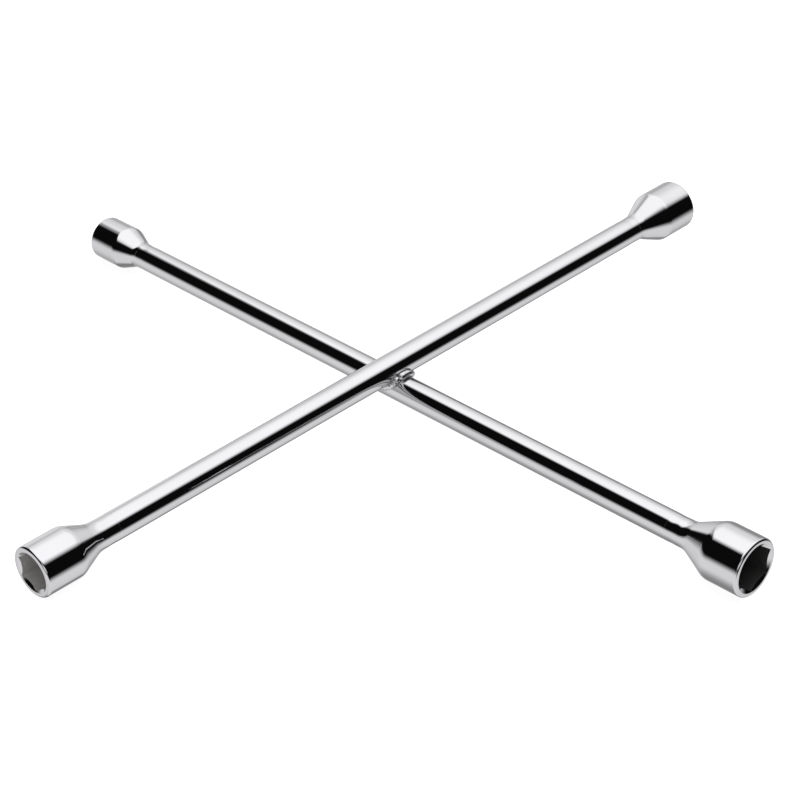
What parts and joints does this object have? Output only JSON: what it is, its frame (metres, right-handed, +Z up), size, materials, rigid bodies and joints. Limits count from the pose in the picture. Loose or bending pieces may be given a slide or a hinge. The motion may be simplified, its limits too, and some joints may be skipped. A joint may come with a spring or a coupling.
{
  "type": "four-way lug wrench",
  "caption": "Chrome four-way lug wrench: round bars crossed and welded at the middle, with a hexagon socket for wheel nuts on every end.",
  "frame": {"origin": "below the crossing of the bars, level with the lowest point of the largest socket", "axes": "+X along the lower bar towards the 23 mm socket, +Y along the upper bar towards the 21 mm socket, +Z up"},
  "size_m": [0.508, 0.508, 0.0424],
  "materials": {
    "bar_chrome": "bright chrome plate on drawn round steel bar",
    "socket_chrome": "bright chrome plate on ground steel sockets, darker inside the hexagon",
    "weld_chrome": "bright chrome plate over weld metal"
  },
  "bodies": {
    "root": {"socket_17mm": "socket_chrome", "socket_23mm": "socket_chrome", "socket_19mm": "socket_chrome", "socket_21mm": "socket_chrome", "neck_weld_17mm": "weld_chrome", "neck_weld_23mm": "weld_chrome", "neck_weld_19mm": "weld_chrome", "neck_weld_21mm": "weld_chrome", "lower_bar": "bar_chrome", "upper_bar": "bar_chrome", "centre_weld_right": "weld_chrome", "centre_weld_left": "weld_chrome", "centre_weld_front": "weld_chrome", "centre_weld_rear": "weld_chrome"}
  },
  "joints": []
}
